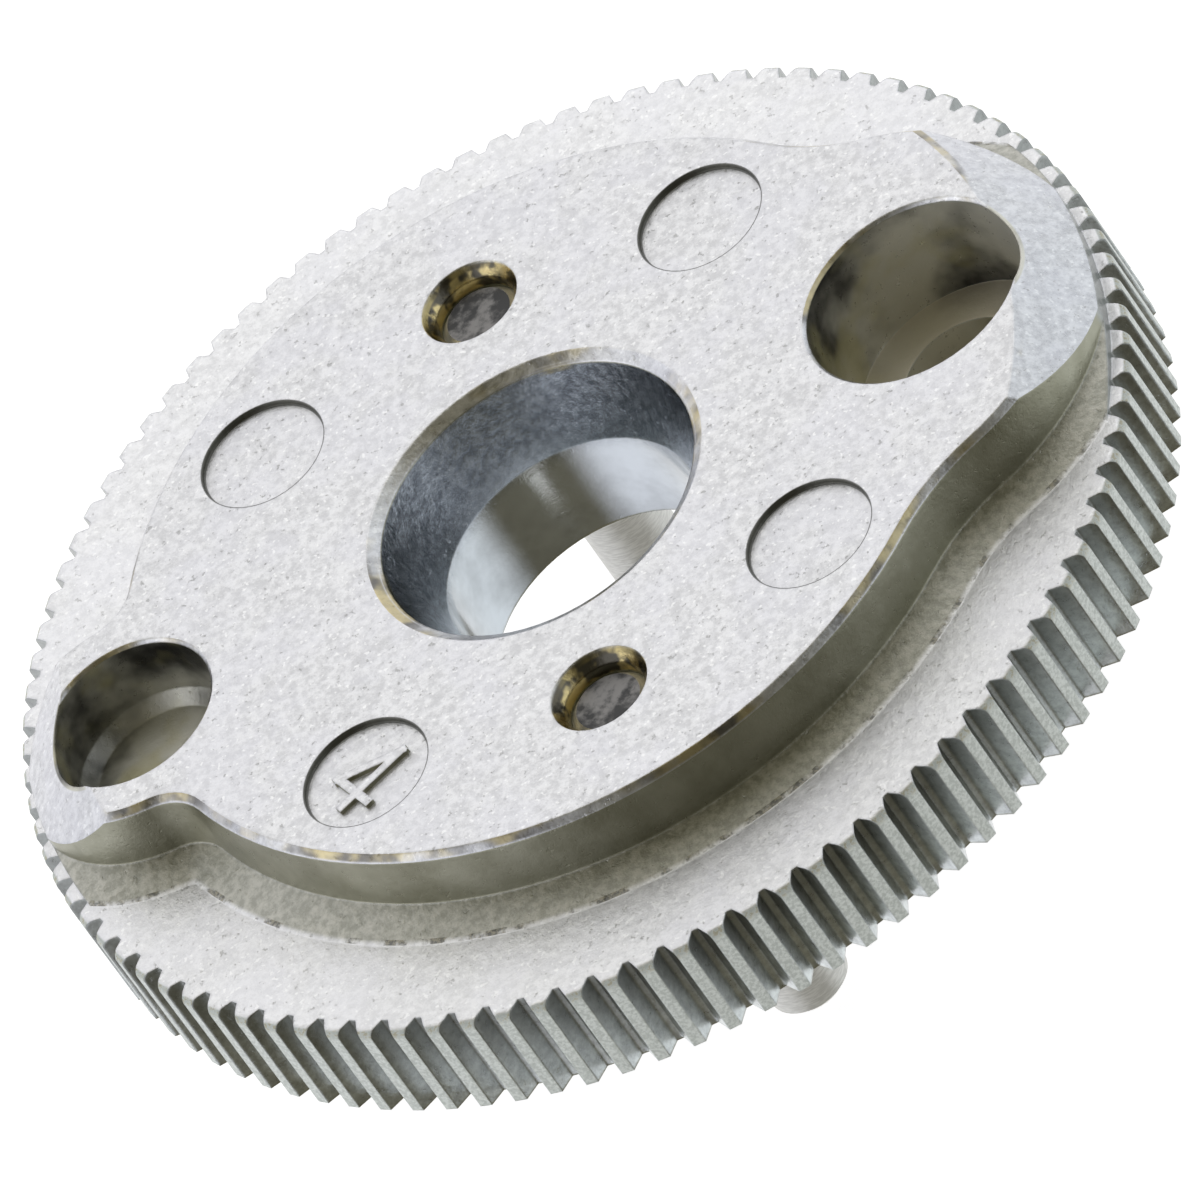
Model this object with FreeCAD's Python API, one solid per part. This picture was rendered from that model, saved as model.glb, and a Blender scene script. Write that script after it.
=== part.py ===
"""Engine flywheel with two pressed clutch pins, for a small model-car engine.

The wheel's axis is +Z and the origin is where it meets the flat clutch-side face.
The boss with its two lobes points towards +Z, the engine side; the pins point
towards -Z, the clutch side.  The large lobe lies along +X.  All sizes are in mm.
"""
import math
import os

import FreeCAD
import Part

# Rim: a flat flange with straight V-grooves all round its edge.
RIM_RADIUS = 17.5
FLANGE_HEIGHT = 3.5
FLANGE_EDGE_ROUND = 0.25
GROOVE_COUNT = 98
GROOVE_DEPTH = 0.50
GROOVE_MOUTH_WIDTH = 0.75
GROOVE_FLOOR_WIDTH = 0.20
FIRST_GROOVE_ANGLE = 1.4

# Boss: a disc with a wide lobe on +X and a narrow lobe on -X.
BOSS_HEIGHT = 2.3
BOSS_RADIUS = 13.1
WIDE_NOSE_CENTRE = 9.78
WIDE_NOSE_RADIUS = 7.43
WIDE_BLEND_RADIUS = 7.2
NARROW_NOSE_CENTRE = 13.2
NARROW_NOSE_RADIUS = 3.9
NARROW_BLEND_RADIUS = 1.6
LOBE_TIP_RADIUS = 17.0
LOBE_BEVEL_RADIUS = 15.05
LOBE_TIP_HEIGHT = 0.73
BOSS_EDGE_CHAMFER = 0.2
WALL_DRAFT = 0.1

# Foot: a low sloping band between the boss wall and the flange.
FOOT_WIDTH = 1.3
FOOT_HEIGHT = 0.4

# Centre bore: a straight land on the clutch side, then a taper for the collet.
BORE_RADIUS = 4.0
BORE_LAND_LENGTH = 3.3
TAPER_MOUTH_RADIUS = 4.95
BORE_CHAMFER_RADIUS = 5.3
BORE_CHAMFER_DEPTH = 0.22

# Blind holes in the lobes.  The wide one has a smaller step in its floor.
HOLE_EDGE_BREAK = 0.1
WIDE_HOLE_CENTRE = 12.2
WIDE_HOLE_RADIUS = 3.3
WIDE_HOLE_DEPTH = 3.65
WIDE_STEP_RADIUS = 1.95
WIDE_STEP_DEPTH = 1.0
NARROW_HOLE_CENTRE = 13.2
NARROW_HOLE_RADIUS = 2.6
NARROW_HOLE_DEPTH = 2.5
NARROW_HOLE_CORNER = 0.4

# Round marks left by the ejector pins of the die, one with the cavity number 4.
MARK_COUNT = 4
MARK_RADIUS = 1.95
MARK_RING_RADIUS = 10.1
MARK_DEPTH = 0.18
DIGIT_HEIGHT = 0.14
DIGIT_STROKE = 0.28
DIGIT_ANGLE = 23.0
DIGIT_STROKES = (
    ((0.32, -1.20), (0.32, 1.15)),
    ((0.32, 1.15), (-0.62, -0.62)),
    ((-0.68, -0.62), (0.88, -0.62)),
)

# Clutch pins and their holes.
PIN_RADIUS = 1.25
PIN_LENGTH = 13.0
PIN_END_CHAMFER = 0.25
PIN_FREE_LENGTH = 7.8
PIN_CIRCLE_RADIUS = 8.7
COUNTERSINK_RADIUS = 1.52
COUNTERSINK_DEPTH = 0.4

TOTAL_HEIGHT = FLANGE_HEIGHT + BOSS_HEIGHT
OVERCUT = 1.0
UP = FreeCAD.Vector(0, 0, 1)


def point(x, y, z=0.0):
    """A point or vector from its three coordinates."""
    return FreeCAD.Vector(x, y, z)


def polar(radius, angle, z=0.0):
    """A point at a radius and an angle in degrees about the wheel's axis."""
    turn = math.radians(angle)
    return point(radius * math.cos(turn), radius * math.sin(turn), z)


def extruded(wire, height):
    """A solid made by pushing a closed flat wire up by a height."""
    return Part.Face(wire).extrude(point(0, 0, height))


def turned(profile):
    """A solid of revolution about the wheel's axis from (radius, z) corners."""
    corners = [point(radius, 0, z) for radius, z in profile]
    wire = Part.makePolygon(corners + corners[:1])
    return Part.Face(wire).revolve(point(0, 0), UP, 360)


def knurled_outline():
    """The rim's closed outline: flat-floored V-grooves with narrow lands between."""
    pitch = 360.0 / GROOVE_COUNT
    floor_radius = RIM_RADIUS - GROOVE_DEPTH
    half_mouth = math.degrees(GROOVE_MOUTH_WIDTH / 2 / RIM_RADIUS)
    half_floor = math.degrees(GROOVE_FLOOR_WIDTH / 2 / floor_radius)
    edges = []
    for index in range(GROOVE_COUNT):
        middle = FIRST_GROOVE_ANGLE + index * pitch
        left_lip = polar(RIM_RADIUS, middle - half_mouth)
        left_floor = polar(floor_radius, middle - half_floor)
        right_floor = polar(floor_radius, middle + half_floor)
        right_lip = polar(RIM_RADIUS, middle + half_mouth)
        land_middle = polar(RIM_RADIUS, middle + pitch / 2)
        next_lip = polar(RIM_RADIUS, middle + pitch - half_mouth)
        edges.append(Part.makeLine(left_lip, left_floor))
        edges.append(Part.makeLine(left_floor, right_floor))
        edges.append(Part.makeLine(right_floor, right_lip))
        edges.append(Part.Arc(right_lip, land_middle, next_lip).toShape())
    return Part.Wire(edges)


def rim():
    """The knurled flange, with its outer top edge rounded."""
    blank = Part.makeCylinder(RIM_RADIUS, FLANGE_HEIGHT)
    top_edges = [edge for edge in blank.Edges if edge.Closed and edge.CenterOfMass.z > FLANGE_HEIGHT / 2]
    blank = blank.makeFillet(FLANGE_EDGE_ROUND, top_edges)
    return blank.common(extruded(knurled_outline(), FLANGE_HEIGHT))


def blend_centre(nose_centre, nose_radius, blend_radius):
    """Centre of the hollow arc that touches both the boss disc and a lobe's nose."""
    to_axis = BOSS_RADIUS + blend_radius
    to_nose = nose_radius + blend_radius
    x = (to_axis ** 2 - to_nose ** 2 + nose_centre ** 2) / (2 * nose_centre)
    return point(x, math.sqrt(to_axis ** 2 - x ** 2))


def towards(start, target, distance):
    """The point at a distance from start on the way to target."""
    step = target - start
    return start + step * (distance / step.Length)


def mirrored_lobe_points(side, nose_centre, nose_radius, blend_radius, grow):
    """The four outline points of a lobe's upper half, on the +X or -X side."""
    centre = blend_centre(nose_centre, nose_radius, blend_radius)
    nose = point(nose_centre, 0)
    tip = point(nose_centre + nose_radius + grow, 0)
    on_nose = towards(nose, centre, nose_radius + grow)
    on_disc = towards(point(0, 0), centre, BOSS_RADIUS + grow)
    on_blend = towards(centre, (on_nose + on_disc) * 0.5, blend_radius - grow)
    return [point(side * p.x, p.y) for p in (tip, on_nose, on_blend, on_disc)]


def boss_outline(grow, z):
    """The boss's closed outline at a height, grown outwards by a distance."""
    wide = mirrored_lobe_points(1, WIDE_NOSE_CENTRE, WIDE_NOSE_RADIUS, WIDE_BLEND_RADIUS, grow)
    narrow = mirrored_lobe_points(-1, NARROW_NOSE_CENTRE, NARROW_NOSE_RADIUS,
                                  NARROW_BLEND_RADIUS, grow)

    def below(p):
        return point(p.x, -p.y)

    crown = point(0, BOSS_RADIUS + grow)
    arcs = (
        (below(wide[1]), wide[0], wide[1]),
        (wide[1], wide[2], wide[3]),
        (wide[3], crown, narrow[3]),
        (narrow[3], narrow[2], narrow[1]),
        (narrow[1], narrow[0], below(narrow[1])),
        (below(narrow[1]), below(narrow[2]), below(narrow[3])),
        (below(narrow[3]), below(crown), below(wide[3])),
        (below(wide[3]), below(wide[2]), below(wide[1])),
    )
    wire = Part.Wire([Part.Arc(*ends).toShape() for ends in arcs])
    wire.translate(point(0, 0, z))
    return wire


def boss():
    """The raised boss with its foot, drafted wall, chamfered edge and bevelled lobes."""
    foot_top = FLANGE_HEIGHT + FOOT_HEIGHT
    chamfer_start = TOTAL_HEIGHT - BOSS_EDGE_CHAMFER
    foot_wires = [boss_outline(FOOT_WIDTH, FLANGE_HEIGHT), boss_outline(WALL_DRAFT, foot_top)]
    wall_wires = [boss_outline(WALL_DRAFT, foot_top), boss_outline(0.0, chamfer_start)]
    edge_wires = [boss_outline(0.0, chamfer_start), boss_outline(-BOSS_EDGE_CHAMFER, TOTAL_HEIGHT)]
    stack = Part.makeLoft(foot_wires, True, True)
    for wires in (wall_wires, edge_wires):
        stack = stack.fuse(Part.makeLoft(wires, True, True))
    envelope = turned((
        (0, FLANGE_HEIGHT),
        (LOBE_TIP_RADIUS, FLANGE_HEIGHT),
        (LOBE_TIP_RADIUS, FLANGE_HEIGHT + LOBE_TIP_HEIGHT),
        (LOBE_BEVEL_RADIUS, TOTAL_HEIGHT),
        (0, TOTAL_HEIGHT),
    ))
    return stack.common(envelope)


def bore_cutter():
    """What is removed for the centre bore: straight land, collet taper, edge chamfer."""
    chamfer_start = TOTAL_HEIGHT - BORE_CHAMFER_DEPTH
    return turned((
        (0, -OVERCUT),
        (BORE_RADIUS, -OVERCUT),
        (BORE_RADIUS, BORE_LAND_LENGTH),
        (TAPER_MOUTH_RADIUS, chamfer_start),
        (BORE_CHAMFER_RADIUS, TOTAL_HEIGHT),
        (BORE_CHAMFER_RADIUS, TOTAL_HEIGHT + OVERCUT),
        (0, TOTAL_HEIGHT + OVERCUT),
    ))


def hole_cutter(x, y, profile):
    """A turned cutter that stands on its own axis; its profile lists (radius, z)."""
    cutter = turned(profile)
    cutter.translate(point(x, y))
    return cutter


def open_top(radius):
    """The end of a blind hole's profile: its wall, broken edge and clearance above."""
    return (
        (radius, TOTAL_HEIGHT - HOLE_EDGE_BREAK),
        (radius + HOLE_EDGE_BREAK, TOTAL_HEIGHT),
        (radius + HOLE_EDGE_BREAK, TOTAL_HEIGHT + OVERCUT),
        (0, TOTAL_HEIGHT + OVERCUT),
    )


def wide_hole_cutter():
    """The wide lobe's blind hole, with a smaller step sunk in its floor."""
    floor = TOTAL_HEIGHT - WIDE_HOLE_DEPTH
    return hole_cutter(WIDE_HOLE_CENTRE, 0, (
        (0, floor - WIDE_STEP_DEPTH),
        (WIDE_STEP_RADIUS, floor - WIDE_STEP_DEPTH),
        (WIDE_STEP_RADIUS, floor),
        (WIDE_HOLE_RADIUS, floor),
    ) + open_top(WIDE_HOLE_RADIUS))


def narrow_hole_cutter():
    """The narrow lobe's blind hole, its floor chamfered into the wall."""
    floor = TOTAL_HEIGHT - NARROW_HOLE_DEPTH
    return hole_cutter(-NARROW_HOLE_CENTRE, 0, (
        (0, floor),
        (NARROW_HOLE_RADIUS - NARROW_HOLE_CORNER, floor),
        (NARROW_HOLE_RADIUS, floor + NARROW_HOLE_CORNER),
    ) + open_top(NARROW_HOLE_RADIUS))


def pin_hole_cutter(y):
    """A through hole for a clutch pin, countersunk on the boss side."""
    return hole_cutter(0, y, (
        (0, -OVERCUT),
        (PIN_RADIUS, -OVERCUT),
        (PIN_RADIUS, TOTAL_HEIGHT - COUNTERSINK_DEPTH),
        (COUNTERSINK_RADIUS, TOTAL_HEIGHT),
        (COUNTERSINK_RADIUS, TOTAL_HEIGHT + OVERCUT),
        (0, TOTAL_HEIGHT + OVERCUT),
    ))


def mark_centre(index):
    """Centre of one ejector mark, counted from the one between +X and +Y."""
    return polar(MARK_RING_RADIUS, 45 + index * 360 / MARK_COUNT, TOTAL_HEIGHT - MARK_DEPTH)


def mark_cutter(index):
    """A shallow round recess left by an ejector pin."""
    return Part.makeCylinder(MARK_RADIUS, MARK_DEPTH + OVERCUT, mark_centre(index))


def stroke(start, end):
    """One raised bar of the cavity number."""
    along = (end - start).normalize() * (DIGIT_STROKE / 2)
    across = point(-along.y, along.x)
    corners = [start - along + across, start - along - across,
               end + along - across, end + along + across]
    return extruded(Part.makePolygon(corners + corners[:1]), DIGIT_HEIGHT)


def cavity_number():
    """The raised 4 that stands on the floor of the third ejector mark."""
    bars = [stroke(point(*start), point(*end)) for start, end in DIGIT_STROKES]
    digit = bars[0].multiFuse(bars[1:])
    digit.rotate(point(0, 0), UP, DIGIT_ANGLE - 90)
    digit.translate(mark_centre(2))
    return digit


def flywheel_casting():
    """The whole die-cast wheel as one solid."""
    body = rim().fuse(boss())
    cutters = [
        bore_cutter(),
        wide_hole_cutter(),
        narrow_hole_cutter(),
        pin_hole_cutter(PIN_CIRCLE_RADIUS),
        pin_hole_cutter(-PIN_CIRCLE_RADIUS),
    ]
    cutters += [mark_cutter(index) for index in range(MARK_COUNT)]
    for cutter in cutters:
        body = body.cut(cutter)
    return body.fuse(cavity_number()).removeSplitter()


def clutch_pin(y):
    """A plain steel pin, chamfered at both ends and pressed into the casting."""
    pin = Part.makeCylinder(PIN_RADIUS, PIN_LENGTH, point(0, y, -PIN_FREE_LENGTH))
    ends = [edge for edge in pin.Edges if edge.Closed]
    return pin.makeChamfer(PIN_END_CHAMFER, ends)


def export(name, shape):
    """Write one piece to its own STEP file."""
    shape.exportStep(os.path.join("parts", name + ".step"))


os.makedirs("parts", exist_ok=True)
export("flywheel_casting", flywheel_casting())
export("clutch_pin_a", clutch_pin(PIN_CIRCLE_RADIUS))
export("clutch_pin_b", clutch_pin(-PIN_CIRCLE_RADIUS))
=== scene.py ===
"""Looks for the clutch flywheel: cast-metal and steel materials, floor, light and camera.

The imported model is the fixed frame, in metres.  Its wheel axis is +Z, the wide lobe is
on +X, and the clutch pins point down.
"""

import bpy
from mathutils import Matrix, Vector


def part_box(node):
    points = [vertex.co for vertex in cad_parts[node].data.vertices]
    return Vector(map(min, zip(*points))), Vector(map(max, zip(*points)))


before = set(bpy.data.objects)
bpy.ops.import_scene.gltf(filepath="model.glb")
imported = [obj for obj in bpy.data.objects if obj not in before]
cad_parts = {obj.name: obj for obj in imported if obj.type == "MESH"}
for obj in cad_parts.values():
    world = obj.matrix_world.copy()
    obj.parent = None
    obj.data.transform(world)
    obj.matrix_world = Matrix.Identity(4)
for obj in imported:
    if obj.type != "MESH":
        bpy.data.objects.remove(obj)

MM = 0.001

# The floor touches the tips of the pins.
PIN_TIP_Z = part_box("clutch_pin_a")[0].z

# Where soft changes between the casting's surfaces start and end.
FOOT_RADII = (12.0 * MM, 12.4 * MM)
FOOT_HEIGHTS = (3.57 * MM, 3.95 * MM)
FOOT_EDGE_HEIGHTS = (3.512 * MM, 3.56 * MM)
TOP_EDGE_HEIGHTS = (5.60 * MM, 5.66 * MM)
LOBE_TIP_PLACES = (14.6 * MM, 14.9 * MM)
MOUTH_RADII = (4.90 * MM, 5.00 * MM)
MOUTH_HEIGHTS = (5.3 * MM, 5.4 * MM)
PIN_HOLE_RADII = (1.46 * MM, 1.52 * MM)
PIN_HOLE_HEIGHTS = (5.0 * MM, 5.1 * MM)

# Camera: a long lens far off, tilted to the side.
CAMERA_PLACE = Vector((118.67, -596.33, 518.16)) * MM
CAMERA_FORWARD = Vector((-0.14897, 0.74711, -0.64779))
CAMERA_UP = Vector((0.46925, 0.63005, 0.61874))
LENS = 844.66

# Level directions from the wheel: to the room's dark front side, and to its right.
FRONT = Vector((0.195, -0.981, 0.0))
RIGHT = Vector((0.981, 0.195, 0.0))

# Blind holes as (centre on X, radius), then the circle of the pins and the ejector marks.
WIDE_HOLE = (12.2 * MM, 3.42 * MM)
NARROW_HOLE = (-13.2 * MM, 2.72 * MM)
PIN_CIRCLE = 8.7 * MM
MARK_CENTRE = 7.142 * MM
MARK_RADIUS = 1.95 * MM


class Graph:
    """A small helper that adds and links shader nodes in one material or world."""

    def __init__(self, tree):
        self.tree = tree

    def node(self, kind, **settings):
        made = self.tree.nodes.new(kind)
        for name, value in settings.items():
            setattr(made, name, value)
        return made

    def put(self, socket, value):
        """Link an output into a socket, or set the socket's own value."""
        if isinstance(value, bpy.types.NodeSocket):
            self.tree.links.new(value, socket)
        else:
            socket.default_value = value

    def math(self, operation, a, b=0.0, clamp=False):
        made = self.node("ShaderNodeMath", operation=operation, use_clamp=clamp)
        self.put(made.inputs[0], a)
        self.put(made.inputs[1], b)
        return made.outputs[0]

    def ramp(self, value, low, high):
        """A smooth 0 to 1 as value goes from low to high."""
        made = self.node("ShaderNodeMapRange", interpolation_type="SMOOTHSTEP")
        self.put(made.inputs["Value"], value)
        self.put(made.inputs["From Min"], low)
        self.put(made.inputs["From Max"], high)
        return made.outputs["Result"]

    def fall(self, value, low, high):
        """A smooth 1 to 0 as value goes from low to high."""
        return self.math("SUBTRACT", 1.0, self.ramp(value, low, high))

    def band(self, value, low, high, soft):
        """1 between low and high, falling to 0 over soft on each side."""
        rise = self.ramp(value, low - soft, low)
        return self.math("MULTIPLY", rise, self.fall(value, high, high + soft))

    def noise(self, place, size, detail=3.0, roughness=0.55):
        """Noise from 0 to 1 whose features are about size metres."""
        made = self.node("ShaderNodeTexNoise")
        self.put(made.inputs["Vector"], place)
        made.inputs["Scale"].default_value = 1.0 / size
        made.inputs["Detail"].default_value = detail
        made.inputs["Roughness"].default_value = roughness
        return made.outputs["Fac"]

    def blend(self, factor, a, b):
        """Colour a at factor 0 and colour b at factor 1."""
        made = self.node("ShaderNodeMix", data_type="RGBA")
        self.put(made.inputs["Factor"], factor)
        self.put(made.inputs["A"], a)
        self.put(made.inputs["B"], b)
        return made.outputs["Result"]

    def mix_values(self, factor, a, b):
        made = self.node("ShaderNodeMix", data_type="FLOAT")
        self.put(made.inputs["Factor"], factor)
        self.put(made.inputs["A"], a)
        self.put(made.inputs["B"], b)
        return made.outputs["Result"]


def new_material(name):
    """An empty node material with its Principled shader, as (material, graph, shader)."""
    material = bpy.data.materials.new(name)
    material.use_nodes = True
    graph = Graph(material.node_tree)
    shader = material.node_tree.nodes["Principled BSDF"]
    return material, graph, shader


def distance(g, across, along):
    """The length of a level vector from its two parts."""
    return g.math("SQRT", g.math("ADD", g.math("MULTIPLY", across, across),
                                 g.math("MULTIPLY", along, along)))


def disc(g, x, y, centre, radius):
    """1 inside an upright cylinder whose axis is on the X axis, 0 outside it."""
    away = distance(g, g.math("SUBTRACT", x, centre), y)
    return g.fall(away, radius - 0.04 * MM, radius)


def casting_material():
    """Pale frosted zinc: bright grain on top, smoother walls, with painted shade and painted
    reflections darkening the walls, foot, bore, holes and knurl, and painted light on the flange and
    the wide hole's floor.
    """
    material, g, shader = new_material("zinc_casting")
    place = g.node("ShaderNodeTexCoord").outputs["Object"]
    split = g.node("ShaderNodeSeparateXYZ")
    g.put(split.inputs[0], place)
    x, y, z = split.outputs
    radius = distance(g, x, y)
    facing = g.node("ShaderNodeSeparateXYZ")
    g.put(facing.inputs[0], g.node("ShaderNodeNewGeometry").outputs["Normal"])
    upward = facing.outputs["Z"]

    outward = g.math("DIVIDE", g.math("ADD", g.math("MULTIPLY", facing.outputs["X"], x),
                                      g.math("MULTIPLY", facing.outputs["Y"], y)), radius)

    # Where each kind of surface is.
    flat_top = g.ramp(upward, 0.90, 0.985)
    wall = g.fall(g.math("ABSOLUTE", upward), 0.25, 0.75)
    inside = g.fall(g.math("MULTIPLY", upward, -1.0), 0.8, 0.95)
    below_lip = g.fall(z, 5.50 * MM, 5.58 * MM)
    in_bore = g.math("MULTIPLY", g.fall(radius, 5.0 * MM, 5.1 * MM), below_lip)
    in_bore = g.math("MULTIPLY", in_bore, inside)
    in_land = g.math("MULTIPLY", in_bore, g.fall(z, 2.7 * MM, 4.1 * MM))
    in_wide = disc(g, x, y, *WIDE_HOLE)
    in_narrow = disc(g, x, y, *NARROW_HOLE)
    in_hole = g.math("MULTIPLY", g.math("MAXIMUM", in_wide, in_narrow),
                     g.fall(z, 5.66 * MM, 5.72 * MM))
    in_hole = g.math("MULTIPLY", in_hole, inside)
    knurl = g.ramp(radius, 16.90 * MM, 17.0 * MM)
    land = g.math("MULTIPLY", g.ramp(g.math("ADD", outward, upward), 0.6, 0.8),
                  g.ramp(radius, 17.20 * MM, 17.40 * MM))
    land = g.math("MULTIPLY", land, g.fall(upward, 0.80, 0.98))
    groove = g.math("MULTIPLY", g.math("MULTIPLY", knurl, wall), g.math("SUBTRACT", 1.0, land))
    beyond_boss = g.ramp(radius, *FOOT_RADII)
    foot = g.math("MULTIPLY", g.band(z, *FOOT_HEIGHTS, 0.06 * MM),
                  g.math("MULTIPLY", g.band(upward, 0.90, 0.975, 0.03), beyond_boss))
    foot_crease_shade = g.math("MULTIPLY", g.band(z, *FOOT_EDGE_HEIGHTS, 0.006 * MM), beyond_boss)
    to_mark = distance(g, g.math("SUBTRACT", g.math("ABSOLUTE", x), MARK_CENTRE),
                       g.math("SUBTRACT", g.math("ABSOLUTE", y), MARK_CENTRE))
    mark_edge = g.band(to_mark, MARK_RADIUS - 0.04 * MM, MARK_RADIUS + 0.01 * MM, 0.03 * MM)
    mark_ring_shade = g.math("MULTIPLY", mark_edge, g.ramp(z, 5.5 * MM, 5.6 * MM))
    top_edge = g.math("MULTIPLY", g.band(upward, 0.45, 0.88, 0.06), g.ramp(z, *TOP_EDGE_HEIGHTS))
    off_tips = g.fall(g.math("ABSOLUTE", x), *LOBE_TIP_PLACES)
    top_edge = g.math("MULTIPLY", top_edge, off_tips)
    mouth_edge = g.math("MULTIPLY", g.band(radius, *MOUTH_RADII, 0.03 * MM),
                        g.ramp(z, *MOUTH_HEIGHTS))

    # Grain: a cloudy tone, a fine frosting, dark pits and bright specks.
    cloud = g.noise(place, 2.6 * MM, 4.0, 0.6)
    grain = g.noise(place, 0.30 * MM, 5.0, 0.72)
    fine = g.noise(place, 0.11 * MM, 3.0, 0.65)
    speck = g.ramp(g.noise(place, 0.17 * MM, 1.0), 0.64, 0.72)
    pit = g.fall(g.noise(place, 0.24 * MM, 3.0, 0.7), 0.29, 0.37)

    pale = g.blend(g.ramp(grain, 0.34, 0.66), (0.53, 0.53, 0.54, 1), (0.74, 0.74, 0.75, 1))
    pale = g.blend(g.math("MULTIPLY", g.ramp(cloud, 0.42, 0.62), 0.30), pale, (0.66, 0.66, 0.71, 1))
    pale = g.blend(g.math("MULTIPLY", speck, 0.40), pale, (0.98, 0.98, 0.97, 1))
    pale = g.blend(g.math("MULTIPLY", pit, 0.55), pale, (0.30, 0.30, 0.29, 1))
    # Painted light: the flange below the boss is lightened to make up for the boss's shade on it.
    flange_painted_light = g.math("MULTIPLY", g.fall(z, 3.52 * MM, 3.60 * MM), 0.2)
    pale = g.blend(flange_painted_light, pale, (0.96, 0.96, 0.96, 1))
    # Walls: a cloudy olive-grey whose darkness and olive tint are painted shade and painted reflection
    # of the dark front; the cloudy variation is the casting's own.
    grey = g.blend(g.ramp(cloud, 0.28, 0.74), (0.30, 0.29, 0.21, 1), (0.47, 0.46, 0.36, 1))
    colour = g.blend(wall, pale, grey)
    # Painted shade: the foot slope is darkened to olive where it would reflect the dark front; the
    # grain variation is the casting's own.
    foot_shade_tone = g.blend(g.ramp(grain, 0.36, 0.66), (0.26, 0.26, 0.21, 1), (0.44, 0.43, 0.37, 1))
    colour = g.blend(g.math("MULTIPLY", foot, 0.8), colour, foot_shade_tone)
    # Painted shade: a dark mottled line along the concave crease at the foot's outer edge.
    crease_shade_breaks = g.ramp(g.noise(place, 0.9 * MM, 4.0, 0.7), 0.46, 0.60)
    crease_shade_tone = g.blend(g.ramp(fine, 0.42, 0.60), (0.07, 0.07, 0.06, 1), (0.26, 0.24, 0.18, 1))
    colour = g.blend(g.math("MULTIPLY", g.math("MULTIPLY", foot_crease_shade, crease_shade_breaks), 0.8), colour, crease_shade_tone)
    # Painted shade: a dark line round each ejector mark, standing in for the shade in its edge groove.
    colour = g.blend(g.math("MULTIPLY", mark_ring_shade, 0.85), colour, (0.10, 0.10, 0.09, 1))

    groove_tone = g.blend(g.ramp(grain, 0.35, 0.68), (0.56, 0.58, 0.57, 1), (0.80, 0.83, 0.81, 1))
    # Painted shade: the knurl grooves darken towards their top, where the teeth shade them.
    groove_painted_shade = g.math("MULTIPLY", g.ramp(z, 0.6 * MM, 3.2 * MM), 0.55)
    groove_tone = g.blend(groove_painted_shade, groove_tone, (0.16, 0.16, 0.14, 1))
    land_tone = g.blend(g.ramp(fine, 0.38, 0.62), (0.48, 0.51, 0.48, 1), (0.66, 0.69, 0.66, 1))
    # Painted shade: brown blotches on the tops of the knurl's lands.
    tooth_top_shade = g.math("MULTIPLY", g.ramp(z, 3.15 * MM, 3.40 * MM), g.ramp(fine, 0.50, 0.58))
    land_tone = g.blend(g.math("MULTIPLY", tooth_top_shade, 0.6), land_tone, (0.30, 0.25, 0.10, 1))
    colour = g.blend(groove, colour, groove_tone)
    colour = g.blend(land, colour, land_tone)

    # Painted shade: the bore's taper gets a dark bluish tone for the shade inside the bore; the land
    # keeps a lighter tone.
    taper_shade_tone = g.blend(g.ramp(grain, 0.35, 0.65), (0.24, 0.26, 0.29, 1), (0.46, 0.49, 0.53, 1))
    land_bore_tone = g.blend(g.ramp(cloud, 0.35, 0.65), (0.50, 0.52, 0.53, 1), (0.68, 0.71, 0.73, 1))
    colour = g.blend(in_bore, colour, g.blend(in_land, taper_shade_tone, land_bore_tone))

    # Painted shade and painted reflection in the blind holes: dark blotches for the shade inside them
    # and golden patches for reflected light.
    hole_shade_blotches = g.noise(place, 3.4 * MM, 4.0, 0.5)
    hole_tone = g.blend(g.ramp(hole_shade_blotches, 0.34, 0.60), (0.02, 0.02, 0.02, 1), (0.72, 0.71, 0.64, 1))
    hole_gold_reflection = g.ramp(g.noise(place, 2.6 * MM, 3.0, 0.5), 0.50, 0.68)
    hole_tone = g.blend(g.math("MULTIPLY", hole_gold_reflection, 0.6), hole_tone, (0.54, 0.50, 0.26, 1))
    # Painted light: a warm bright tone on the wide hole's floor.
    pale_floor = g.math("MULTIPLY", g.math("MULTIPLY", flat_top, in_wide), 0.7)
    hole_tone = g.blend(pale_floor, hole_tone, (0.95, 0.88, 0.74, 1))
    colour = g.blend(in_hole, colour, hole_tone)
    to_pin = distance(g, x, g.math("SUBTRACT", g.math("ABSOLUTE", y), PIN_CIRCLE))
    pin_hole = g.math("MULTIPLY", g.fall(to_pin, *PIN_HOLE_RADII),
                      g.ramp(z, *PIN_HOLE_HEIGHTS))
    # Painted shade and painted reflection in the pin holes' countersinks: dark with golden glints.
    countersink_glint = g.ramp(g.noise(place, 0.6 * MM, 2.0), 0.42, 0.58)
    pin_hole_tone = g.blend(countersink_glint, (0.07, 0.06, 0.04, 1), (0.72, 0.58, 0.26, 1))
    colour = g.blend(g.math("MULTIPLY", pin_hole, 0.9), colour, pin_hole_tone)
    # Painted reflection: a broken dark and golden line on the boss's top edge and the bore's mouth, in
    # place of light reflected on the rounded edges.
    edge_reflection_mask = g.ramp(g.noise(place, 5.0 * MM, 4.0, 0.6), 0.44, 0.58)
    edge_reflection_streaks = g.ramp(g.noise(place, 0.9 * MM, 2.0), 0.38, 0.64)
    edge_reflection_tone = g.blend(edge_reflection_streaks, (0.07, 0.06, 0.04, 1), (0.52, 0.43, 0.20, 1))
    edge_reflection_mask = g.math("MULTIPLY", g.math("MAXIMUM", top_edge, mouth_edge), edge_reflection_mask)
    colour = g.blend(g.math("MULTIPLY", edge_reflection_mask, 0.8), colour, edge_reflection_tone)
    g.put(shader.inputs["Base Color"], colour)

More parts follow.
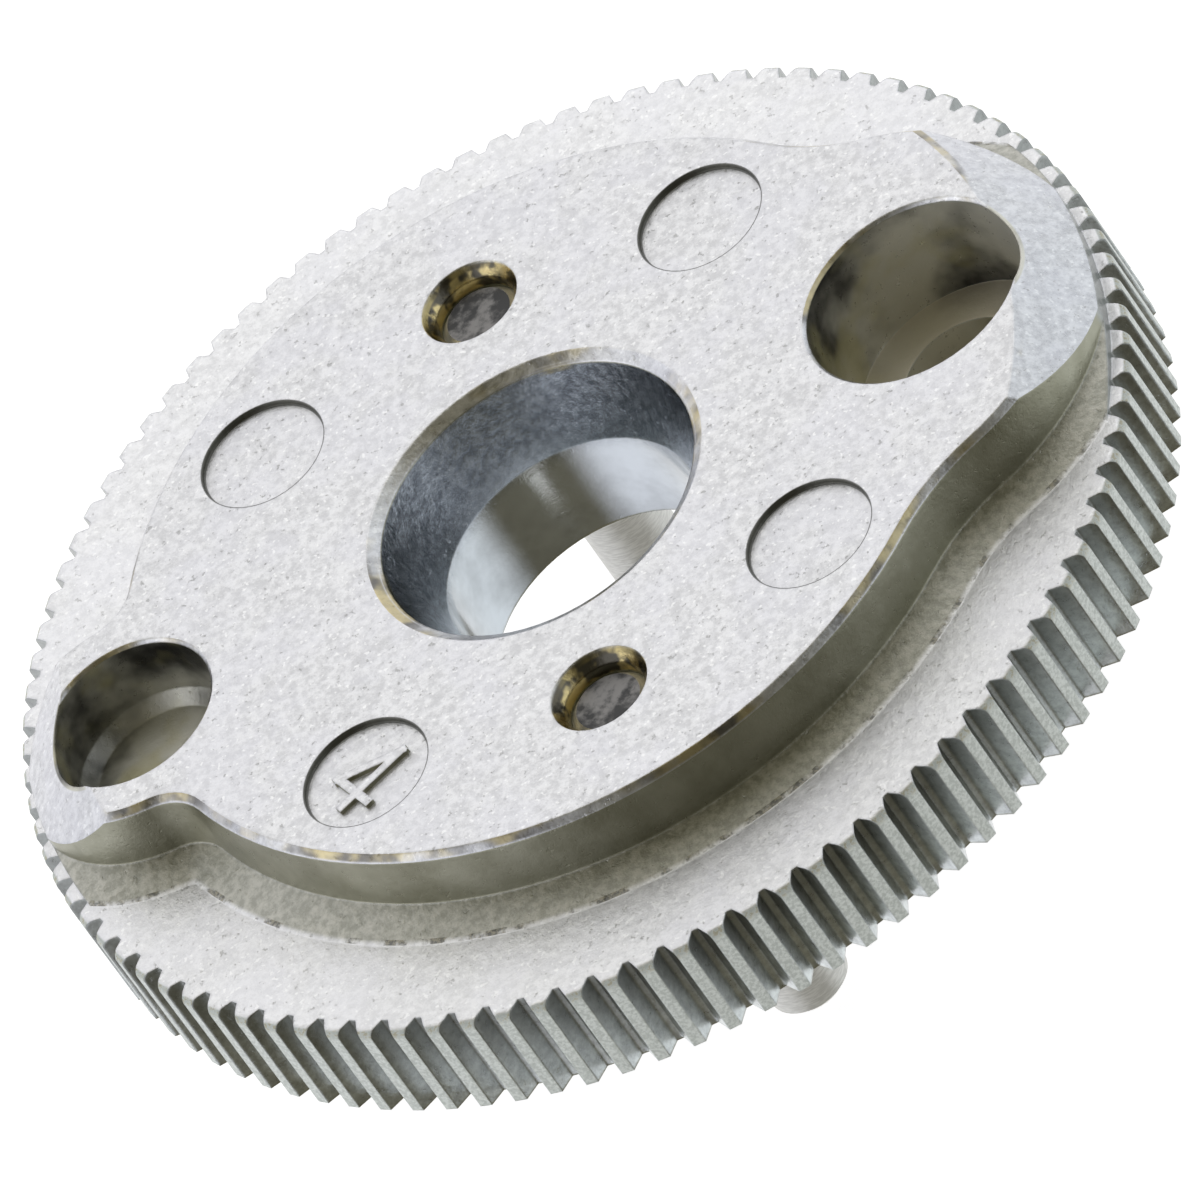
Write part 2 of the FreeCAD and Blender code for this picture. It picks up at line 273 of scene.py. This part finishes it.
    roughness = g.mix_values(flat_top, 0.30, 0.50)
    roughness = g.mix_values(in_bore, roughness, g.mix_values(in_land, 0.20, 0.14))
    roughness = g.mix_values(land, roughness, 0.50)
    roughness = g.mix_values(pin_hole, roughness, 0.18)
    roughness = g.math("ADD", roughness, g.math("MULTIPLY", g.math("SUBTRACT", grain, 0.5), 0.2), True)
    g.put(shader.inputs["Roughness"], roughness)
    metallic = g.mix_values(land, 1.0, 0.15)
    g.put(shader.inputs["Metallic"], g.mix_values(in_hole, metallic, 0.45))

    height = g.math("ADD", g.math("MULTIPLY", grain, 0.8), g.math("MULTIPLY", fine, 0.35))
    height = g.math("SUBTRACT", height, g.math("MULTIPLY", pit, 0.35))
    strength = g.mix_values(flat_top, 0.35, 0.60)
    strength = g.mix_values(in_bore, strength, g.mix_values(in_land, 0.7, 0.06))
    bump = g.node("ShaderNodeBump")
    bump.inputs["Distance"].default_value = 0.05 * MM
    g.put(bump.inputs["Strength"], strength)
    g.put(bump.inputs["Height"], height)
    rounded = g.node("ShaderNodeBevel", samples=6)
    rounded.inputs["Radius"].default_value = 0.11 * MM
    g.put(bump.inputs["Normal"], rounded.outputs[0])
    g.put(shader.inputs["Normal"], bump.outputs[0])
    return material


def pin_material():
    """Ground dowel steel: fine rings round the pin, with a rougher grey end."""
    material, g, shader = new_material("pin_steel")
    place = g.node("ShaderNodeTexCoord").outputs["Object"]
    split = g.node("ShaderNodeSeparateXYZ")
    g.put(split.inputs[0], place)
    stretched = g.node("ShaderNodeMapping")
    g.put(stretched.inputs["Vector"], place)
    stretched.inputs["Scale"].default_value = (0.15, 0.15, 1.0)
    rings = g.noise(stretched.outputs[0], 0.05 * MM, 2.0)
    stain = g.noise(place, 0.7 * MM, 4.0, 0.65)
    facing = g.node("ShaderNodeSeparateXYZ")
    g.put(facing.inputs[0], g.node("ShaderNodeNewGeometry").outputs["Normal"])
    top_end = g.ramp(facing.outputs["Z"], 0.8, 0.95)
    shank = g.blend(g.ramp(rings, 0.35, 0.65), (0.60, 0.59, 0.55, 1), (0.74, 0.73, 0.69, 1))
    end = g.blend(g.ramp(stain, 0.4, 0.62), (0.05, 0.05, 0.05, 1), (0.18, 0.175, 0.17, 1))
    g.put(shader.inputs["Base Color"], g.blend(top_end, shank, end))
    roughness = g.math("ADD", 0.36, g.math("MULTIPLY", rings, 0.14))
    g.put(shader.inputs["Roughness"], g.mix_values(top_end, roughness, 0.45))
    g.put(shader.inputs["Metallic"], g.mix_values(top_end, 0.55, 1.0))
    bump = g.node("ShaderNodeBump")
    bump.inputs["Distance"].default_value = 0.01 * MM
    g.put(bump.inputs["Strength"], g.mix_values(top_end, 0.3, 0.8))
    g.put(bump.inputs["Height"], g.mix_values(top_end, rings, stain))
    g.put(shader.inputs["Normal"], bump.outputs[0])
    return material


def dress(node, material):
    """Give a CAD node its finished material."""
    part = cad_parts[node]
    part.data.materials.clear()
    part.data.materials.append(material)


def floor():
    """A plain pale floor at the tips of the pins, lit a little from within."""
    bpy.ops.mesh.primitive_plane_add(size=2.0, location=(0, 0, PIN_TIP_Z))
    made = bpy.context.object
    made.name = "floor"
    material, g, shader = new_material("pale_floor")
    place = g.node("ShaderNodeTexCoord").outputs["Object"]
    tone = g.noise(place, 30 * MM, 2.0)
    g.put(shader.inputs["Base Color"], g.blend(tone, (0.50, 0.50, 0.50, 1), (0.54, 0.54, 0.54, 1)))
    shader.inputs["Roughness"].default_value = 0.9
    shader.inputs["Emission Color"].default_value = (1.0, 1.0, 1.0, 1)
    shader.inputs["Emission Strength"].default_value = 0.80
    made.data.materials.append(material)
    made.visible_glossy = False


def surroundings():
    """A soft room: white behind, golden overhead, dark in front, pale at both sides."""
    world = bpy.data.worlds.new("room")
    bpy.context.scene.world = world
    world.use_nodes = True
    g = Graph(world.node_tree)
    split = g.node("ShaderNodeSeparateXYZ")
    g.put(split.inputs[0], g.node("ShaderNodeTexCoord").outputs["Generated"])
    x, y, z = split.outputs

    def along(way):
        return g.math("ADD", g.math("MULTIPLY", x, way.x), g.math("MULTIPLY", y, way.y))

    stops = (
        (0.00, (1.00, 1.00, 1.02)),
        (0.27, (1.00, 1.00, 1.00)),
        (0.42, (0.38, 0.36, 0.25)),
        (0.53, (0.17, 0.15, 0.07)),
        (0.64, (0.10, 0.09, 0.06)),
        (1.00, (0.14, 0.135, 0.105)),
    )
    ramp = g.node("ShaderNodeValToRGB")
    g.put(ramp.inputs["Fac"], g.math("ADD", g.math("MULTIPLY", along(FRONT), 0.5), 0.5))
    elements = ramp.color_ramp.elements
    while len(elements) < len(stops):
        elements.new(0.5)
    for element, (position, colour) in zip(elements, stops):
        element.position = position
        element.color = (*colour, 1)
    sideways = along(RIGHT)
    colour = g.blend(g.ramp(sideways, 0.40, 0.80), ramp.outputs["Color"], (0.82, 0.86, 0.90, 1))
    leftwards = g.ramp(g.math("MULTIPLY", sideways, -1.0), 0.40, 0.80)
    colour = g.blend(leftwards, colour, (0.82, 0.84, 0.90, 1))
    background = world.node_tree.nodes["Background"]
    g.put(background.inputs["Color"], colour)
    background.inputs["Strength"].default_value = 1.14


def area_light(name, place, size, power):
    """A square softbox, in metres and watts, that faces the wheel."""
    data = bpy.data.lights.new(name, "AREA")
    data.size = size
    data.energy = power
    lamp = bpy.data.objects.new(name, data)
    lamp.location = place
    lamp.rotation_euler = (-Vector(place)).to_track_quat("-Z", "Y").to_euler()
    bpy.context.scene.collection.objects.link(lamp)


def lights():
    """A broad softbox above and behind the wheel and a smaller one from the left."""
    area_light("overhead", (0.0, 0.33, 0.42), 0.42, 0.27)
    area_light("left", (-0.35, -0.05, 0.22), 0.20, 0.10)


def camera():
    """The matched camera: position, direction and roll from the named vectors."""
    data = bpy.data.cameras.new("camera")
    data.lens = LENS
    data.sensor_width = 36.0
    data.clip_start = 0.05
    data.clip_end = 5.0
    made = bpy.data.objects.new("camera", data)
    bpy.context.scene.collection.objects.link(made)
    back = -CAMERA_FORWARD.normalized()
    right = CAMERA_UP.cross(back).normalized()
    up = back.cross(right)
    turn = Matrix((right, up, back)).transposed()
    made.matrix_world = Matrix.Translation(CAMERA_PLACE) @ turn.to_4x4()
    bpy.context.scene.camera = made


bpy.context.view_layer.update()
dress("flywheel_casting", casting_material())
steel = pin_material()
dress("clutch_pin_a", steel)
dress("clutch_pin_b", steel)
floor()
surroundings()
lights()
camera()
bpy.context.scene.view_settings.view_transform = "Standard"
